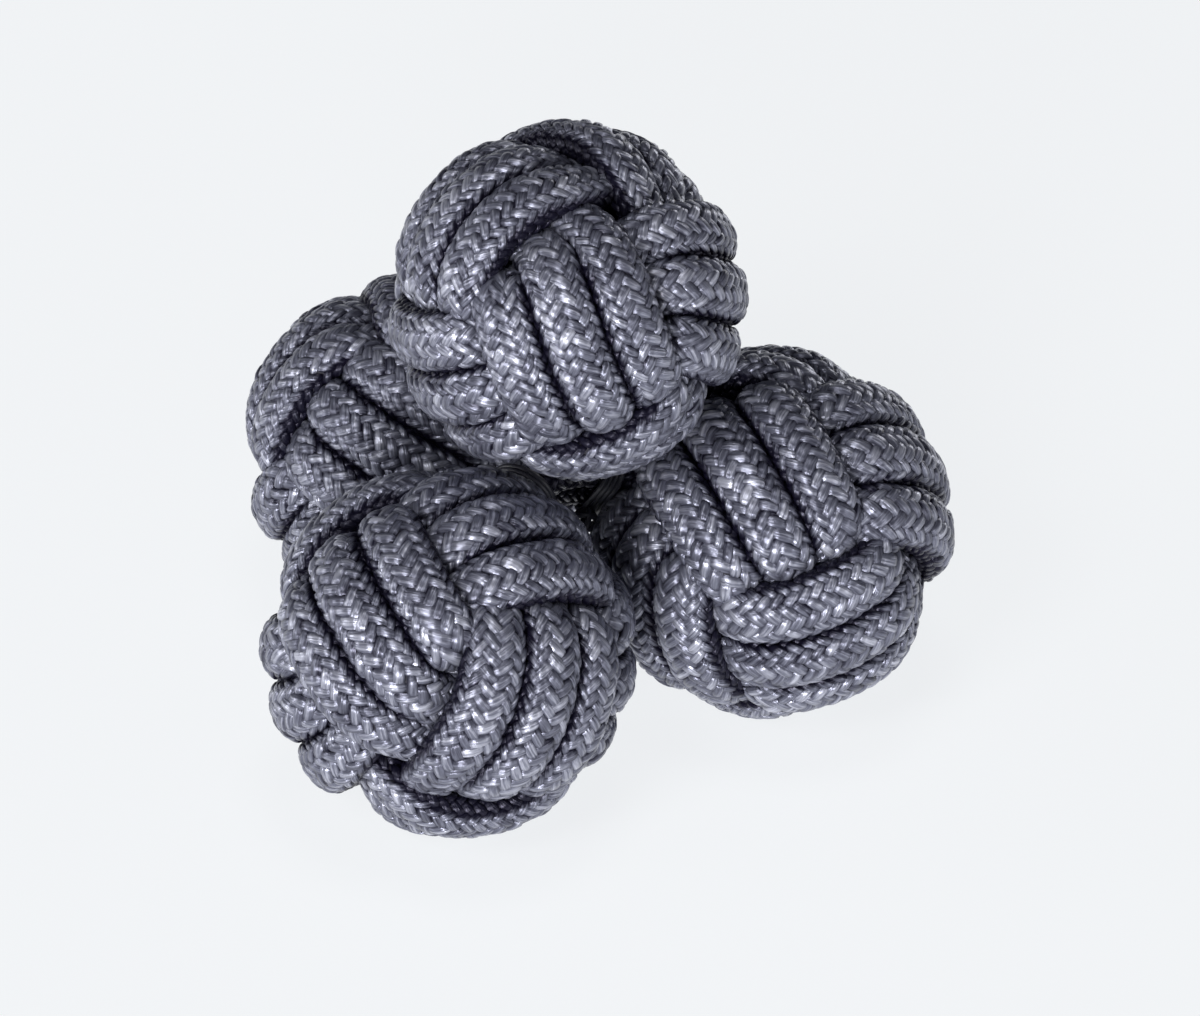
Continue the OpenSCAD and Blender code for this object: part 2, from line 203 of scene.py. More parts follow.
@dataclass
class Route:
    """A cord's middle line with its section: where it runs, which way is out, how wide and thick it is."""

    points: np.ndarray
    out: np.ndarray
    half_width: np.ndarray
    half_thickness: np.ndarray
    along: np.ndarray = field(init=False)
    heading: np.ndarray = field(init=False)
    side: np.ndarray = field(init=False)

    def __post_init__(self) -> None:
        """Works out the way along, the way across and the length so far."""
        self.heading = unit(np.gradient(self.points, axis=0))
        self.out = across(self.out, self.heading)
        self.side = np.cross(self.heading, self.out)
        steps = np.linalg.norm(np.diff(self.points, axis=0), axis=1)
        self.along = np.concatenate([[0.0], np.cumsum(steps)])

    @property
    def length_mm(self) -> float:
        """Length of the middle line."""
        return float(self.along[-1])

    def read(self, values: np.ndarray, along: np.ndarray) -> np.ndarray:
        """Reads a value of the route at lengths along it.

        Args:
            values: One value or vector for each point of the route.
            along: Lengths along the route, in millimetres.

        Returns:
            The values there.
        """
        if values.ndim == 1:
            return np.interp(along, self.along, values)
        return np.stack([np.interp(along, self.along, values[:, k]) for k in range(3)], -1)

    def surface(
        self, along: np.ndarray, angle: np.ndarray, lift: np.ndarray, squareness: float
    ) -> np.ndarray:
        """Finds points on or off the cord's skin.

        Args:
            along: Lengths along the route.
            angle: Angles round the section in radians; a quarter turn is outward.
            lift: Heights above the skin.
            squareness: Power that flattens the section's sides; 1 is an ellipse.

        Returns:
            Points in millimetres.
        """
        width = self.read(self.half_width, along) + lift
        thickness = self.read(self.half_thickness, along) + lift
        cosine, sine = np.cos(angle), np.sin(angle)
        sideways = np.sign(cosine) * np.abs(cosine) ** squareness * width
        outward = np.sign(sine) * np.abs(sine) ** squareness * thickness
        return (
            self.read(self.points, along)
            + sideways[..., None] * self.read(self.side, along)
            + outward[..., None] * self.read(self.out, along)
        )


@dataclass(frozen=True)
class Braid:
    """A tubular braid: columns of short yarns that lean left and right in turn."""

    columns: int = 14
    row_mm: float = 0.46
    crown_mm: float = 0.165
    lean_columns: float = 0.74
    lean_rows: float = 0.60
    girth_columns: float = 0.31
    girth_rows: float = 0.34
    sink: float = 0.85
    squareness: float = 0.9
    jitter_rows: float = 0.07
    jitter_columns: float = 0.05
    size_spread: float = 0.07
    tone_spread: float = 0.09
    # Below this outward share the yarns' tone is lowered: painted shade in the creases between strands.
    painted_shade_sine: float = 0.62
    painted_crease_shade: float = 0.55


class Weaver:
    """Makes meshes of braided cord."""

    FILAMENT_MAP = "Filaments"
    BAKE_MAP = "OFBake"
    TONE_AND_SHADE = "tone_and_shade"
    GRID_ALONG = 7
    GRID_ACROSS = 5
    BASE_SIDES = 14
    BASE_STEP_MM = 0.24
    YARN_SHARE = 0.88

    def __init__(self, braid: Braid, yarn: bpy.types.Material, shade_finish: bpy.types.Material) -> None:
        """Keeps the pattern and the two finishes.

        Args:
            braid: The pattern.
            yarn: Finish of the yarns.
            shade_finish: Finish of the tube under the yarns, near-black painted shade that shows between
                them.
        """
        self.braid = braid
        self.yarn = yarn
        self.shade_finish = shade_finish

    def yarns(
        self, route: Route, start_mm: float, end_mm: float, lowest_sine: float, rng: np.random.Generator
    ) -> tuple[np.ndarray, np.ndarray, np.ndarray]:
        """Lays the yarns of a stretch of cord.

        Args:
            route: The cord.
            start_mm: Where the stretch starts.
            end_mm: Where it ends.
            lowest_sine: Columns whose outward share is lower than this are left out.
            rng: Source of the small unevenness.

        Returns:
            Points of each yarn's grid, its filament coordinates, and its tone, with painted shade at its
            edges and ends and in the creases between strands.
        """
        braid = self.braid
        rows = np.arange(math.ceil(start_mm / braid.row_mm), math.floor(end_mm / braid.row_mm) + 1)
        columns = np.arange(braid.columns)
        step = 2 * math.pi / braid.columns
        angles = columns * step + step / 2 * (braid.columns % 4 == 2) + math.pi / 2
        kept = np.sin(angles) >= lowest_sine
        columns, angles = columns[kept], angles[kept]
        row, column = [grid.ravel() for grid in np.meshgrid(rows, np.arange(len(columns)), indexing="ij")]
        lean = np.where(columns[column] % 2 == 0, Slant.RIGHT.value, Slant.LEFT.value).astype(float)
        count = len(row)
        middle_row = row + 0.5 * (columns[column] % 2) + rng.normal(0, braid.jitter_rows, count)
        middle_angle = angles[column] + rng.normal(0, braid.jitter_columns, count) * step
        size = rng.normal(1.0, braid.size_spread, count)
        t = np.linspace(-1, 1, self.GRID_ALONG)[None, :, None]
        v = np.linspace(-1, 1, self.GRID_ACROSS)[None, None, :]
        slim = (1.0 - 0.3 * np.abs(t) ** 4) * size[:, None, None]
        lean_grid = lean[:, None, None]
        rows_off = braid.lean_rows * t - lean_grid * braid.girth_rows * v * slim
        columns_off = lean_grid * braid.lean_columns * t + braid.girth_columns * v * slim
        along = (middle_row[:, None, None] + rows_off) * braid.row_mm
        angle = middle_angle[:, None, None] + columns_off * step
        height = (1 - (0.97 * np.abs(v)) ** 2.6) ** 0.5 - 0.1 * t * t - braid.sink * t**4
        lift = braid.crown_mm * (height * (1 + 0.12 * rng.normal(0, 1, count)[:, None, None]) - 1.0)
        points = route.surface(np.clip(along, 0, route.length_mm), angle, lift, braid.squareness)
        tone_and_shade = rng.normal(0, braid.tone_spread, count)[:, None, None] + 0 * lift
        # Painted shade: the tone falls towards each yarn's edges and ends, where it dives under its
        # neighbours.
        tone_and_shade -= 0.3 * np.abs(v) ** 3 + 0.35 * np.abs(t) ** 4
        # Painted shade: the tone falls in the creases where the cord's flank turns away.
        tone_and_shade -= braid.painted_crease_shade * ease((braid.painted_shade_sine - np.sin(angle)) / 0.35)
        shift = rng.uniform(0, 40, (count, 2))
        filament_u = np.broadcast_to(0.4 * t, lift.shape) + shift[:, 0, None, None]
        filament_v = np.broadcast_to(0.2 * v, lift.shape) * slim + shift[:, 1, None, None]
        return points, np.stack([filament_u, filament_v], -1), tone_and_shade

    def grid_faces(self, count: int, along: int, over: int) -> np.ndarray:
        """Lists the quads of a number of equal grids.

        Args:
            count: How many grids.
            along: Points along each grid.
            over: Points across each grid.

        Returns:
            Four vertex numbers for each quad.
        """
        i, j = np.meshgrid(np.arange(along - 1), np.arange(over - 1), indexing="ij")
        first = (i * over + j).ravel()
        quad = np.stack([first, first + over, first + over + 1, first + 1], -1)
        return (quad[None] + (np.arange(count) * along * over)[:, None, None]).reshape(-1, 4)

    def piece(
        self,
        name: str,
        route: Route,
        start_mm: float,
        end_mm: float,
        rng: np.random.Generator,
        lowest_sine: float = -0.6,
        table: bool = False,
    ) -> bpy.types.Object:
        """Makes one braided stretch of cord.

        Args:
            name: Name of the piece.
            route: The cord.
            start_mm: Where the stretch starts.
            end_mm: Where it ends.
            rng: Source of the small unevenness.
            lowest_sine: Columns whose outward share is lower than this are left out.
            table: Whether the cord is pressed flat on the table.

        Returns:
            The piece, in metres.
        """
        yarn_points, filament, tone_and_shade = self.yarns(route, start_mm, end_mm, lowest_sine, rng)
        yarn_count = len(yarn_points)
        grid_size = self.GRID_ALONG * self.GRID_ACROSS
        yarn_faces = self.grid_faces(yarn_count, self.GRID_ALONG, self.GRID_ACROSS)

        # A near-black tube under the yarns: painted shade that shows in the gaps between them.
        rings = max(3, int((end_mm - start_mm) / self.BASE_STEP_MM) + 1)
        ring_along = np.linspace(start_mm, end_mm, rings)[:, None] + np.zeros((1, self.BASE_SIDES))
        ring_angle = np.linspace(0, 2 * math.pi, self.BASE_SIDES)[None, :] + np.zeros((rings, 1))
        sunk = np.full(ring_along.shape, -0.95 * self.braid.crown_mm)
        base_points = route.surface(ring_along, ring_angle, sunk, self.braid.squareness)
        base_faces = self.grid_faces(1, rings, self.BASE_SIDES) + yarn_count * grid_size

        points = np.concatenate([yarn_points.reshape(-1, 3), base_points.reshape(-1, 3)])
        if table:
            points[:, 2] = np.maximum(points[:, 2], 0.01)
        faces = np.concatenate([yarn_faces, base_faces])

        cells = math.ceil(math.sqrt(yarn_count))
        cell = np.arange(yarn_count)
        grid_t = np.linspace(0.06, 0.94, self.GRID_ALONG)[None, :, None]
        grid_v = np.linspace(0.06, 0.94, self.GRID_ACROSS)[None, None, :]
        bake_u = ((cell % cells)[:, None, None] + grid_t + 0 * grid_v) / cells
        bake_v = ((cell // cells)[:, None, None] + grid_v + 0 * grid_t) / cells * self.YARN_SHARE
        ring_u = np.linspace(0.002, 0.998, rings)[:, None] + np.zeros((1, self.BASE_SIDES))
        ring_v = np.linspace(self.YARN_SHARE + 0.01, 0.995, self.BASE_SIDES)[None, :] + np.zeros((rings, 1))
        bake = np.concatenate(
            [np.stack([bake_u, bake_v], -1).reshape(-1, 2), np.stack([ring_u, ring_v], -1).reshape(-1, 2)]
        )
        ring_places = np.stack([ring_along, ring_angle], -1)
        threads = np.concatenate([filament.reshape(-1, 2), ring_places.reshape(-1, 2)])
        tones_and_shade = np.concatenate([tone_and_shade.ravel(), np.zeros(base_points.shape[0] * base_points.shape[1])])
        slots = np.concatenate([np.zeros(len(yarn_faces), int), np.ones(len(base_faces), int)])
        return self.build(name, points * MM, faces, bake, threads, tones_and_shade, slots)

    def build(
        self,
        name: str,
        points: np.ndarray,
        faces: np.ndarray,
        bake: np.ndarray,
        threads: np.ndarray,
        tones_and_shade: np.ndarray,
        slots: np.ndarray,
    ) -> bpy.types.Object:
        """Turns arrays into an object.

        Args:
            name: Name of the piece.
            points: Vertices in metres.
            faces: Quads.
            bake: Map that overlaps nowhere, a point for each vertex.
            threads: Map whose first way runs along the filaments.
            tones_and_shade: Tone of each vertex, with its painted shade.
            slots: Material slot of each face.

        Returns:
            The object, linked to the scene.
        """
        mesh = bpy.data.meshes.new(name)
        mesh.vertices.add(len(points))
        mesh.vertices.foreach_set("co", points.astype(np.float32).ravel())
        mesh.loops.add(faces.size)
        mesh.loops.foreach_set("vertex_index", faces.astype(np.int32).ravel())
        mesh.polygons.add(len(faces))
        mesh.polygons.foreach_set("loop_start", np.arange(0, faces.size, 4, dtype=np.int32))
        mesh.polygons.foreach_set("material_index", slots.astype(np.int32))
        mesh.polygons.foreach_set("use_smooth", np.ones(len(faces), dtype=bool))
        mesh.update(calc_edges=True)
        for title, values in ((self.BAKE_MAP, bake), (self.FILAMENT_MAP, threads)):
            layer = mesh.uv_layers.new(name=title)
            layer.uv.foreach_set("vector", values[faces.ravel()].astype(np.float32).ravel())
        tone_and_shade = mesh.attributes.new(self.TONE_AND_SHADE, "FLOAT", "POINT")
        tone_and_shade.data.foreach_set("value", tones_and_shade.astype(np.float32))
        mesh.materials.append(self.yarn)
        mesh.materials.append(self.shade_finish)
        mesh.validate()
        made = bpy.data.objects.new(name, mesh)
        bpy.context.scene.collection.objects.link(made)
        return made


@dataclass(frozen=True)
class Weave:
    """The knot that each ball is wound in: three leads and four bights, laid three strands wide."""

    leads: int = 3
    bights: int = 4
    strands: int = 3
    wave_deg: float = 54.0
    overtone_deg: float = 1.0
    over_pitch_deg: float = 22.0
    under_pitch_deg: float = 19.0
    sharpness: float = 2.2
    crossing_shift_deg: float = 32.0
    change_turns: float = 0.3
    samples_per_turn: int = 420

    def height(self, turns: np.ndarray) -> np.ndarray:
        """Returns the height of the weave at places along the cord, from -1, under, to 1, over."""
        phase = 2 * math.pi * turns * self.bights / self.leads
        shifted = 2 * phase + math.radians(self.crossing_shift_deg) * np.sin(2 * phase)
        return -np.tanh(self.sharpness * np.sin(shifted)) / math.tanh(self.sharpness)

    def middle_track(self, turns: np.ndarray) -> np.ndarray:
        """Returns points of the middle track on a ball of radius one."""
        longitude = 2 * math.pi * turns
        phase = longitude * self.bights / self.leads
        latitude = np.radians(self.wave_deg * np.sin(phase) + self.overtone_deg * np.sin(self.leads * phase))
        return np.stack(
            [np.cos(latitude) * np.cos(longitude), np.cos(latitude) * np.sin(longitude), np.sin(latitude)], -1
        )

    def track(self, turns: np.ndarray) -> np.ndarray:
        """Returns the track that the cord lies on, from -1 to 1."""
        circuit = np.floor(turns / self.leads)
        inside = turns - circuit * self.leads
        return circuit - 1 + ease((inside - (self.leads - self.change_turns)) / self.change_turns)

    def pitch(self, height: np.ndarray) -> np.ndarray:
        """Returns the angle between neighbouring tracks, in radians, at heights of the weave."""
        middle, swing = self.over_pitch_deg + self.under_pitch_deg, self.over_pitch_deg - self.under_pitch_deg
        return np.radians((middle + swing * height) / 2)

    @property
    def first_turn(self) -> float:
        """Place of the cord's first end, which comes up from inside the ball before the first circuit."""
        return -self.change_turns

    @property
    def last_turn(self) -> float:
        """Place of the cord's last end, inside the ball."""
        return float(self.strands * self.leads)

    def tucked(self, turns: np.ndarray) -> np.ndarray:
        """Returns how far the cord's ends dive, from 0 to 1."""
        start = 1 - ease((turns - self.first_turn) / self.change_turns)
        end = ease((turns - self.last_turn) / self.change_turns + 1)
        return start + end


@dataclass(frozen=True)
class CordSection:
    """Width and thickness of the wound cord, where it runs over and where it is squeezed under."""

    ball_mm: float = 6.6
    over_width_mm: float = 2.32
    over_thickness_mm: float = 1.70
    under_width_mm: float = 1.96
    under_thickness_mm: float = 1.40


@dataclass
class WoundKnot:
    """One ball of a cufflink: its wound cord in three circuits, and its core."""

    name: str
    ball_mm: float
    turn_deg: tuple[float, float, float]
    quarter: int
    seed: int
    on_table: bool = True
    weave: Weave = field(default_factory=Weave)
    section: CordSection = field(default_factory=CordSection)

    @property
    def body(self) -> str:
        """Name of the body that the ball is."""
        return f"{self.name}_knot"

    def route(self) -> Route:
        """Lays the cord's middle line round the ball's core.

        Returns:
            The route, where the ball lies.
        """
        weave, section = self.weave, self.section
        size = self.ball_mm / section.ball_mm
        count = int((weave.last_turn - weave.first_turn) * weave.samples_per_turn)
        turns = np.linspace(weave.first_turn, weave.last_turn, count)
        height = weave.height(turns)
        over_mm = self.ball_mm - size * section.over_thickness_mm / 2
        under_mm = over_mm - size * (section.over_thickness_mm + section.under_thickness_mm) / 2
        radius = (over_mm + under_mm) / 2 + (over_mm - under_mm) / 2 * height
        radius = radius - size * section.over_thickness_mm * weave.tucked(turns)
        here = weave.middle_track(turns)
        side = unit(np.cross(here, weave.middle_track(turns + 1e-4) - here))
        offset = weave.track(turns) * weave.pitch(height)
        points = radius[:, None] * (np.cos(offset)[:, None] * here + np.sin(offset)[:, None] * side)
        placed = turn_matrix(self.turn_deg) @ turn_matrix((0, 0, 90.0 * self.quarter))
        points = points @ placed.T
        share = (height + 1) / 2
        width = section.under_width_mm + (section.over_width_mm - section.under_width_mm) * share
        gain = section.over_thickness_mm - section.under_thickness_mm
        thickness = section.under_thickness_mm + gain * share
        centre = node_centre_mm(f"{self.name}_knot_core")
        return Route(points + centre, points, size * width / 2, size * thickness / 2)

    def build(self, weaver: Weaver, core: bpy.types.Material) -> None:
        """Makes the wound cord in three circuits and dresses the core.

        Args:
            weaver: Maker of braided cord.
            core: Finish of the core.
        """
        rng = np.random.default_rng(self.seed)
        route = self.route()
        circuits = np.linspace(0, route.length_mm, self.weave.strands + 1)
        for number, (start, end) in enumerate(zip(circuits[:-1], circuits[1:]), 1):
            wrap = weaver.piece(
                f"{self.name}_knot_wrap_{number}", route, start, end, rng, table=self.on_table
            )
            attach(wrap, self.body)
            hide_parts(f"{self.name}_knot_cord")
        dress(f"{self.name}_knot_core", core)
        LOG.info("%s knot: %.0f mm of cord", self.name, route.length_mm)


@dataclass
class LinkPlane:
    """Plane and arc of a link between two balls."""

    first: str
    second: str
    leave_deg: float
    tilt_deg: float
    start_mm: float
    cord_mm: float = 1.5
    gap_mm: float = 0.1
    braid_mm: float = 1.86

    def __post_init__(self) -> None:
        """Works out the plane's ways and the arc's centre and radius."""
        start, end = node_centre_mm(f"{self.first}_knot_core"), node_centre_mm(f"{self.second}_knot_core")
        up = np.array([0.0, 0.0, 1.0])
        self.along = unit(end - start)
        level = unit(np.cross(up, self.along))
        tilt = math.radians(self.tilt_deg)
        self.bow = math.cos(tilt) * level + math.sin(tilt) * np.cross(self.along, level)
        self.stack = np.cross(self.along, self.bow)
        self.middle = (start + end) / 2
        self.half_mm = float(np.linalg.norm(end - start)) / 2
        leave = math.radians(self.leave_deg)
        self.height_mm = (self.start_mm - self.half_mm * math.cos(leave)) / math.sin(leave)
        foot = np.array([-self.half_mm + self.start_mm * math.cos(leave), self.start_mm * math.sin(leave)])
        self.radius_mm = float(np.linalg.norm(foot - [0.0, self.height_mm]))

    def point(self, angle_deg: np.ndarray, beyond_mm: np.ndarray, offset_mm: float) -> np.ndarray:
        """Finds points of a strand's middle line.

        Args:
            angle_deg: Angle from the bow's top, towards the second ball where positive.
            beyond_mm: Length past that angle along the arc's end, for the straight part in a ball.
            offset_mm: Distance from the plane.

        Returns:
            Points in millimetres.
        """
        angle = np.radians(angle_deg)
        x = self.radius_mm * np.sin(angle) + np.sign(angle) * beyond_mm * np.cos(angle)
        y = self.height_mm + self.radius_mm * np.cos(angle) - np.abs(beyond_mm * np.sin(angle))
        return self.middle + x[:, None] * self.along + y[:, None] * self.bow + offset_mm * self.stack

    def strand(self, side: int, start_deg: float, end_deg: float, sunk_mm: float) -> Route:
        """Lays a strand from one angle to another, with a straight part past each full end.

        Args:
            side: 1 or -1, the strand's side of the plane.
            start_deg: First angle.
            end_deg: Last angle.
            sunk_mm: Length of the straight part in a ball.

        Returns:
            The route.
        """
        angles = np.linspace(start_deg, end_deg, 90)
        beyond = np.zeros_like(angles)
        straight = np.linspace(0, sunk_mm, 12)[1:]
        if start_deg <= -self.leave_deg:
            angles = np.concatenate([np.full(len(straight), start_deg), angles])
            beyond = np.concatenate([straight[::-1], beyond])
        if end_deg >= self.leave_deg:
            angles = np.concatenate([angles, np.full(len(straight), end_deg)])
            beyond = np.concatenate([beyond, straight])
        offset = side * (self.cord_mm + self.gap_mm) / 2
        points = self.point(angles, beyond, offset)
        hub = self.middle + self.height_mm * self.bow + offset * self.stack
        out = self.point(angles, beyond, offset) - hub
        half = np.full(len(points), self.braid_mm / 2)
        return Route(points, out, half, half)


@dataclass
class Whipping:
    """A few turns of thread round a link's two strands, at a neck, tied off in a small knot; the dark knot is
    also painted shade that fills a gap in the middle of the pile.
    """

    name: str
    plane: LinkPlane
    angle_deg: float
    body: str
    loops: int = 4
    thread_mm: float = 0.22
    width_mm: float = 0.7
    slack_mm: float = 0.08
    knot_mm: float = 0.37
    knot_place_mm: tuple[float, float, float] = (-1.56, -0.16, -0.86)
    sides: int = 8
    steps: int = 64

    def tube(self, path: np.ndarray, middle: np.ndarray, normal: np.ndarray) -> np.ndarray:
        """Sweeps the thread round a closed path.

        Args:
            path: Points of the closed path.
            middle: Point that the path goes round.
            normal: Way square to the path's plane.

        Returns:
            The tube's points, side by side, in millimetres.
        """
        away = unit(path - middle)
        turns = 2 * math.pi * np.arange(self.sides) / self.sides
        rings = [path + self.thread_mm / 2 * (math.cos(a) * away + math.sin(a) * normal) for a in turns]
        return np.concatenate(rings)

    def build(self, finish: bpy.types.Material) -> None:
        """Makes the loops and their knot as one mesh, in place of the model's plain band.

        Args:
            finish: The thread's finish.
        """
        plane = self.plane
        angle = math.radians(self.angle_deg)
        heading = math.cos(angle) * plane.along - math.sin(angle) * plane.bow
        out = math.sin(angle) * plane.along + math.cos(angle) * plane.bow
        centre = plane.middle + plane.height_mm * plane.bow + plane.radius_mm * out
        reach = plane.braid_mm / 2 + self.thread_mm / 2 + self.slack_mm
        offset = (plane.cord_mm + plane.gap_mm) / 2
        turn = np.linspace(0, 2 * math.pi, self.steps, endpoint=False)
        cosine, sine = np.cos(turn)[:, None], np.sin(turn)[:, None]
        tubes = []
        for loop in range(self.loops):
            middle = centre + (loop - (self.loops - 1) / 2) * self.width_mm / self.loops * heading
            path = middle + reach * cosine * out + (reach * sine + np.sign(sine) * offset) * plane.stack
            tubes.append(self.tube(path, middle, heading))
        # The knot is a real tie-off, and its place also puts one of them as painted shade: dark thread
        # filling a gap in the middle of the pile.
        side = 1.0 if self.angle_deg > 0 else -1.0
        knot = centre + self.knot_place_mm[0] * out + self.knot_place_mm[1] * side * heading
        knot = knot + self.knot_place_mm[2] * plane.stack
        stack = plane.stack
        for first, second, normal in ((out, stack, heading), (stack, heading, out), (heading, out, stack)):
            tubes.append(self.tube(knot + self.knot_mm * (cosine * first + sine * second), knot, normal))
        ring, edge = np.meshgrid(np.arange(self.steps), np.arange(self.sides), indexing="ij")
        next_ring, next_edge = (ring + 1) % self.steps, (edge + 1) % self.sides
        quad = [
            edge * self.steps + ring,
            edge * self.steps + next_ring,
            next_edge * self.steps + next_ring,
            next_edge * self.steps + ring,
        ]
        quads = np.stack(quad, -1).reshape(-1, 4)
        faces = np.concatenate([quads + number * self.steps * self.sides for number in range(len(tubes))])
        mesh = bpy.data.meshes.new(self.name)
        mesh.from_pydata((np.concatenate(tubes) * MM).tolist(), [], faces.tolist())
        mesh.polygons.foreach_set("use_smooth", np.ones(len(mesh.polygons), dtype=bool))
        mesh.materials.append(finish)
        made = bpy.data.objects.new(f"{self.name}_thread", mesh)
        bpy.context.scene.collection.objects.link(made)
        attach(made, self.body)
        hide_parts(self.name)


@dataclass
class FirstLink:
    """Link between the front and right knots, in the middle of the pile."""

    leave_deg: float = 41.0
    tilt_deg: float = 34.0
    end_mm: float = 5.98
    sunk_mm: float = 0.9
    seed: int = 51

    def build(self, weaver: Weaver, thread: bpy.types.Material, rubber: bpy.types.Material) -> None:
        """Makes both strands and both whippings.

        Args:
            weaver: Maker of braided cord.
            thread: Finish of the whippings.
            rubber: Finish of the rubber threads.
        """
        plane = LinkPlane("front", "right", self.leave_deg, self.tilt_deg, self.end_mm)
        rng = np.random.default_rng(self.seed)
        for side, title in ((1, "upper"), (-1, "lower")):
            route = plane.strand(side, -self.leave_deg, self.leave_deg, self.sunk_mm)
            braid = weaver.piece(f"first_link_{title}_braid", route, 0, route.length_mm, rng, lowest_sine=-2)
            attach(braid, "first_link")
            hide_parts(f"first_link_{title}_cover")
            dress(f"first_link_{title}_elastic", rubber)
        back_deg = math.degrees((0.12 + 0.35) / plane.radius_mm)
        for side, title in ((-1, "front"), (1, "right")):
            angle = side * (self.leave_deg - back_deg)
            Whipping(f"{title}_neck_stitch", plane, angle, "first_link").build(thread)
        LOG.info("first link: arc of %.1f mm radius", plane.radius_mm)


@dataclass
class SecondLink:
    """Link between the rear and top knots, behind the top knot."""

    leave_deg: float = 65.0
    tilt_deg: float = 30.0
    pivot_mm: float = 7.2
    sunk_mm: float = 1.5
    seed: int = 52

    def build(self, weaver: Weaver, thread: bpy.types.Material, rubber: bpy.types.Material) -> None:
        """Makes both strands, each in two halves that meet at the top of the arc, and both whippings.

        Args:
            weaver: Maker of braided cord.
            thread: Finish of the whippings.
            rubber: Finish of the rubber threads.
        """
        plane = LinkPlane("rear", "top", self.leave_deg, self.tilt_deg, self.pivot_mm)
        rng = np.random.default_rng(self.seed)
        for side, title in ((1, "left"), (-1, "right")):
            for end, knot in ((-1, "rear"), (1, "top")):
                span = (-self.leave_deg, 0.0) if end < 0 else (0.0, self.leave_deg)
                route = plane.strand(side, span[0], span[1], self.sunk_mm)
                braid = weaver.piece(
                    f"second_link_{title}_{knot}_braid", route, 0, route.length_mm, rng, lowest_sine=-2
                )
                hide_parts(f"second_link_{title}_cover")
                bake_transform(braid)
            dress(f"second_link_{title}_elastic", rubber)
        back_deg = math.degrees((0.6 + 0.35) / plane.radius_mm)
        for side, title in ((-1, "rear"), (1, "top")):
            angle = side * (self.leave_deg - back_deg)
            Whipping(f"{title}_neck_stitch", plane, angle, "second_link").build(thread)
        LOG.info("second link: arc of %.1f mm radius", plane.radius_mm)


def dress(node: str, finish: bpy.types.Material) -> None:
    """Gives a model node a finish.

    Args:
        node: Name of the node.
        finish: Its material.
    """
    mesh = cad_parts[node].data
    mesh.materials.clear()
    mesh.materials.append(finish)


@dataclass(frozen=True)
class Lamp:
    """A soft square lamp that looks at the pile's middle."""

    name: str
    azimuth_deg: float
    elevation_deg: float
    distance_m: float
    size_m: float
    power_w: float
    colour: tuple[float, float, float] = (1.0, 1.0, 1.0)

    def build(self, aim: np.ndarray) -> None:
        """Hangs the lamp.

        Args:
            aim: Point that it looks at, in metres.
        """
        back = way_out(self.azimuth_deg, self.elevation_deg)
        data = bpy.data.lights.new(self.name, "AREA")
        data.size = self.size_m
        data.energy = self.power_w
        data.color = self.colour
        made = bpy.data.objects.new(self.name, data)
        made.location = aim + back * self.distance_m
        made.rotation_mode = "QUATERNION"
        made.rotation_quaternion = look_back(back)
        bpy.context.scene.collection.objects.link(made)


def way_out(azimuth_deg: float, elevation_deg: float) -> np.ndarray:
    """Returns the way from the pile towards a lamp or the camera.

    Args:
        azimuth_deg: Angle round the pile, from its front.
        elevation_deg: Angle above the table.

    Returns:
        The way, of length one.
    """
    azimuth, elevation = math.radians(azimuth_deg), math.radians(elevation_deg)
    level = math.cos(elevation)
    return np.array([math.sin(azimuth) * level, -math.cos(azimuth) * level, math.sin(elevation)])


def look_back(back: np.ndarray) -> Quaternion:
    """Returns the quaternion of a lamp or camera that looks against a way."""
    return (-Vector(back)).to_track_quat("-Z", "Y")


